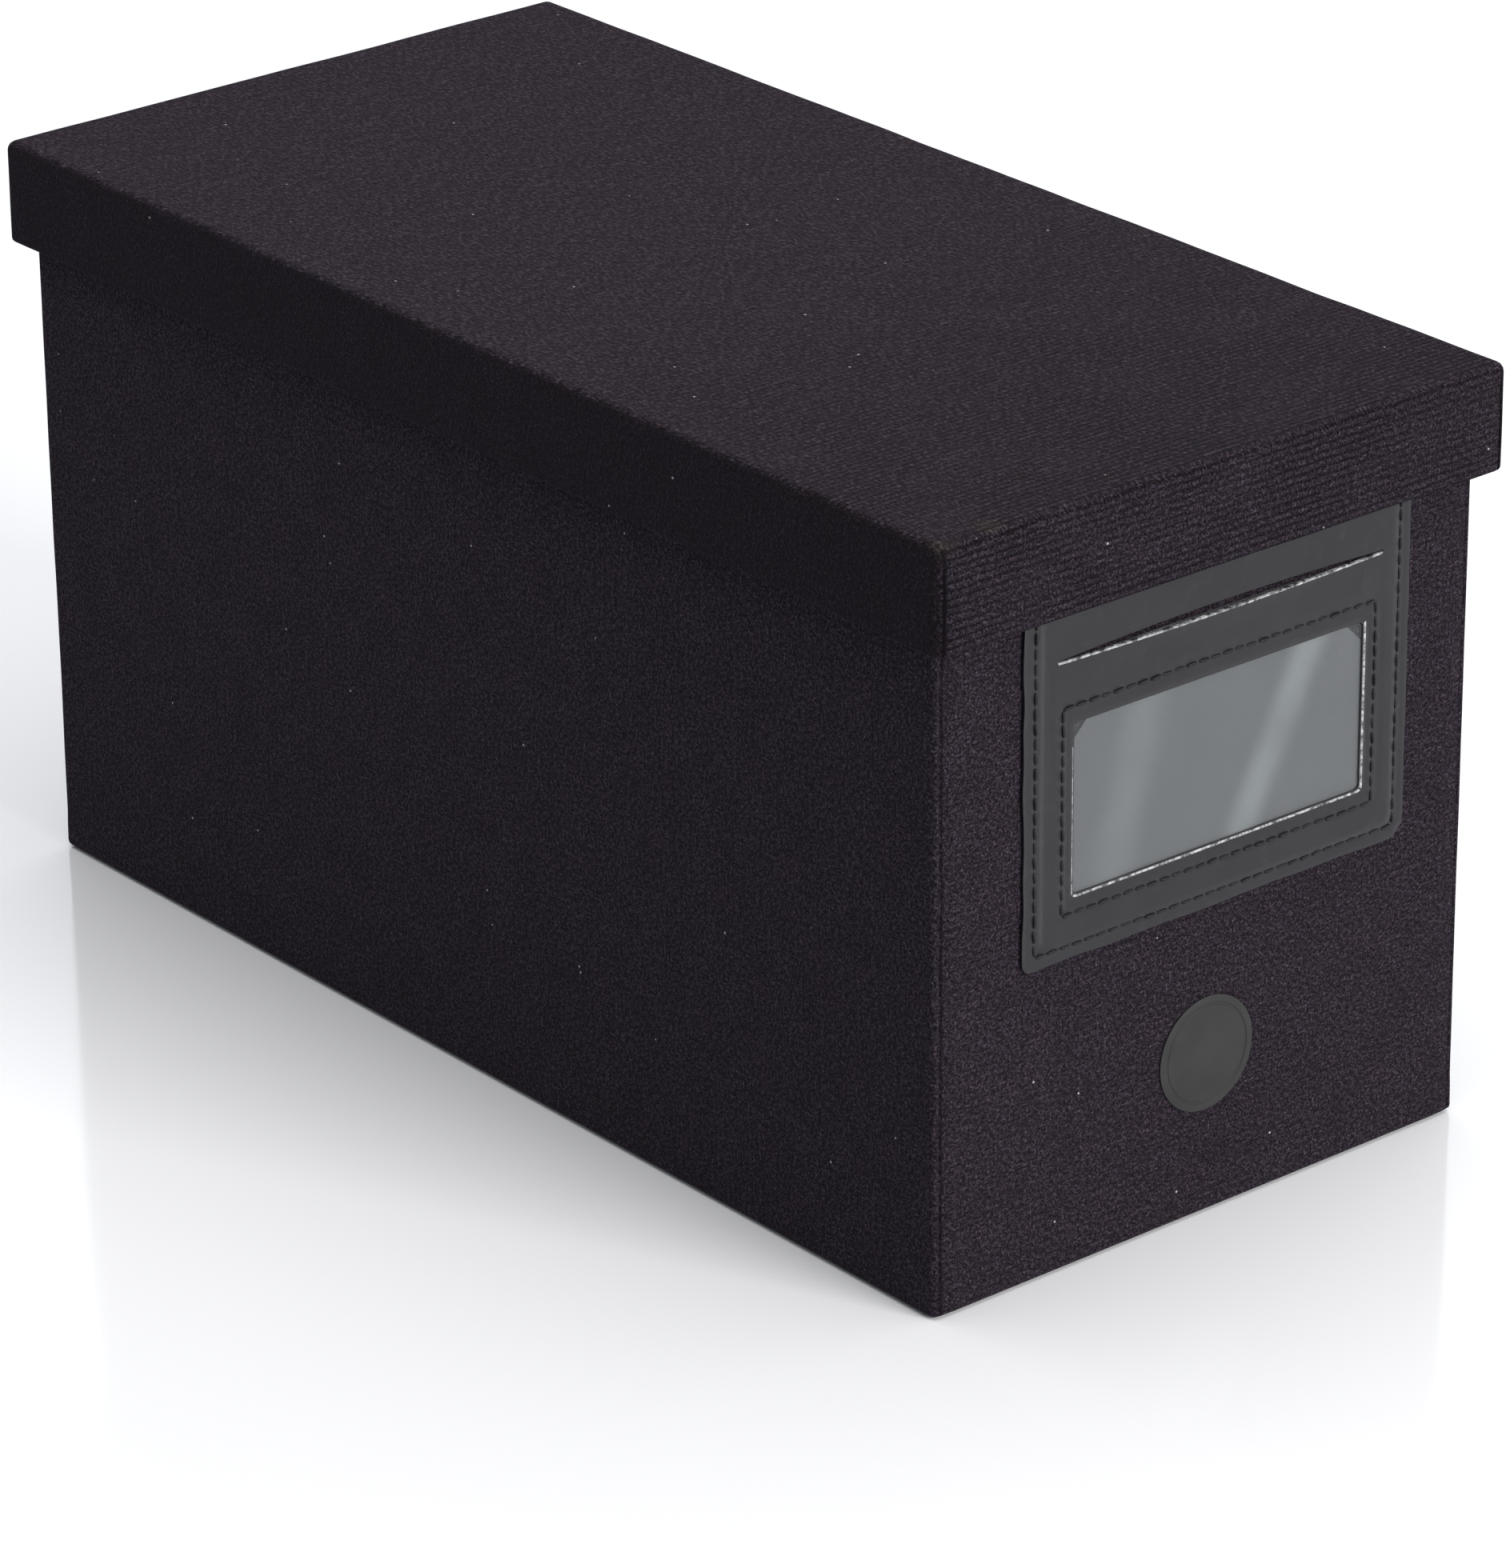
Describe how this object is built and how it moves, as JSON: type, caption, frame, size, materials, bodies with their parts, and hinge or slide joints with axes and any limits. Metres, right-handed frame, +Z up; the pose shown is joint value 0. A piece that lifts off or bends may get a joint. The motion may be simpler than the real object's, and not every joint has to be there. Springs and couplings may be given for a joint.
{
  "type": "archival storage box",
  "caption": "Long fabric-covered board box with a lift-off lid and a sewn label pocket on its front, for disc cases and sleeves.",
  "frame": {"origin": "centre of the box's footprint, on the surface that it stands on", "axes": "+Z up, +Y from the front, where the label pocket is, to the back, +X from left to right across the front"},
  "size_m": [0.165, 0.3384, 0.1834],
  "materials": {
    "greyboard": "matt grey bookbinding board",
    "cover_fabric": "near-black short-pile knitted velour with a fine rib",
    "lining_paper": "matt black lining paper",
    "lining_card": "matt black card",
    "bottom_paper": "matt black paper with a fine emboss",
    "corner_tape": "brown gummed paper tape",
    "imitation_leather": "satin charcoal imitation leather with a fine grain",
    "clear_film": "clear glossy film",
    "label_card": "matt grey card, blank",
    "sewing_thread": "black twisted polyester thread",
    "patch_rubber": "smooth dark grey rubber print"
  },
  "bodies": {
    "base": {"base_floor_board": "greyboard", "base_front_board": "greyboard", "base_back_board": "greyboard", "base_left_board": "greyboard", "base_right_board": "greyboard", "base_wrap_cover": "cover_fabric", "base_front_cover": "cover_fabric", "base_wall_lining": "lining_paper", "base_floor_card": "lining_card", "base_bottom_sheet": "bottom_paper", "base_corner_tapes": "corner_tape", "label_frame": "imitation_leather", "label_window_film": "clear_film", "label_outer_stitching": "sewing_thread", "label_inner_stitching": "sewing_thread", "front_patch": "patch_rubber"},
    "lid": {"lid_top_board": "greyboard", "lid_front_rim_board": "greyboard", "lid_back_rim_board": "greyboard", "lid_left_rim_board": "greyboard", "lid_right_rim_board": "greyboard", "lid_cover": "cover_fabric", "lid_top_lining": "lining_paper", "lid_rim_lining": "lining_paper", "lid_corner_tapes": "corner_tape"},
    "card": {"label_card": "label_card"}
  },
  "joints": [
    {"name": "lid_lift", "type": "slide", "parent": "base", "child": "lid", "axis": [0, 0, 1], "range_m": [0, 0.2]},
    {"name": "card_slide", "type": "slide", "parent": "base", "child": "card", "axis": [0, 0, 1], "range_m": [0, 0.013]}
  ]
}
